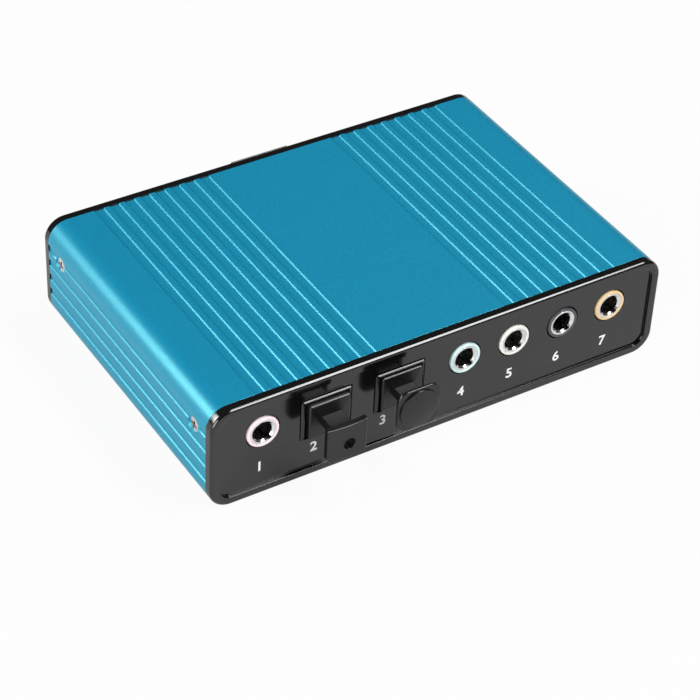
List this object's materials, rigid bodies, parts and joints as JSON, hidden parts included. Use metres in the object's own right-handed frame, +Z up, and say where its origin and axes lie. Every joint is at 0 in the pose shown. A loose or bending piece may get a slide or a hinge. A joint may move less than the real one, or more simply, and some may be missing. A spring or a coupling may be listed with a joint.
{
  "type": "usb sound card",
  "caption": "Low grooved aluminium box with moulded end caps: an external USB audio interface with jacks and optical ports under dust plugs in front and a USB socket behind.",
  "frame": {"origin": "centre of the flat underside of the case, midway between the outer faces of the end caps", "axes": "+X along the front cap to the right as seen from the front, -Y out of the front ports, +Z up"},
  "size_m": [0.09, 0.07, 0.0203],
  "materials": {
    "sleeve_blue": "anodised, fine blasted satin",
    "cap_black": "moulded, semi-gloss",
    "plug_black": "moulded, satin",
    "port_black": "moulded, satin",
    "screw_nickel": "nickel plated",
    "board_green": "solder mask",
    "jack_pink": "moulded",
    "jack_blue": "moulded",
    "jack_cream": "moulded",
    "jack_black": "moulded",
    "jack_orange": "moulded",
    "bush_nickel": "nickel plated",
    "contact_brass": "plated",
    "element_clear": "clear resin",
    "element_dark": "dark resin",
    "usb_steel": "tin plated",
    "usb_black": "moulded",
    "chip_black": "moulded",
    "lead_tin": "tin plated",
    "crystal_steel": "drawn can",
    "can_aluminium": "drawn can",
    "capacitor_yellow": "moulded",
    "foot_black": "moulded",
    "chip_tan": "fired ceramic"
  },
  "bodies": {
    "case": {"case_sleeve": "sleeve_blue", "front_panel": "cap_black", "rear_panel": "cap_black", "screw_front_left": "screw_nickel", "screw_front_right": "screw_nickel", "screw_rear_left": "screw_nickel", "screw_rear_right": "screw_nickel", "main_board": "board_green", "mic_jack_housing": "jack_pink", "mic_jack_bush": "bush_nickel", "mic_jack_contacts": "contact_brass", "line_jack_housing": "jack_blue", "line_jack_bush": "bush_nickel", "line_jack_contacts": "contact_brass", "front_jack_housing": "jack_cream", "front_jack_bush": "bush_nickel", "front_jack_contacts": "contact_brass", "rear_jack_housing": "jack_black", "rear_jack_bush": "bush_nickel", "rear_jack_contacts": "contact_brass", "bass_jack_housing": "jack_orange", "bass_jack_bush": "bush_nickel", "bass_jack_contacts": "contact_brass", "optical_output_housing": "port_black", "optical_input_housing": "port_black", "light_emitter": "element_clear", "light_detector": "element_dark", "usb_shell": "usb_steel", "usb_insulator": "usb_black", "usb_contacts": "contact_brass", "audio_chip": "chip_black", "driver_chips": "chip_black", "regulator": "chip_black", "audio_chip_leads": "lead_tin", "driver_chip_leads": "lead_tin", "regulator_leads": "lead_tin", "crystal": "crystal_steel", "output_capacitors": "capacitor_yellow", "supply_capacitor_can": "can_aluminium", "output_capacitor_leads": "lead_tin", "supply_capacitor_foot": "foot_black", "chip_capacitors": "chip_tan", "chip_resistors": "chip_black"},
    "output_plug": {"output_dust_plug": "plug_black"},
    "input_plug": {"input_dust_plug": "plug_black"}
  },
  "joints": [
    {"name": "output_plug_pull", "type": "slide", "parent": "case", "child": "output_plug", "axis": [0, -1, 0], "range_m": [0, 0.008]},
    {"name": "input_plug_pull", "type": "slide", "parent": "case", "child": "input_plug", "axis": [0, -1, 0], "range_m": [0, 0.008]}
  ]
}
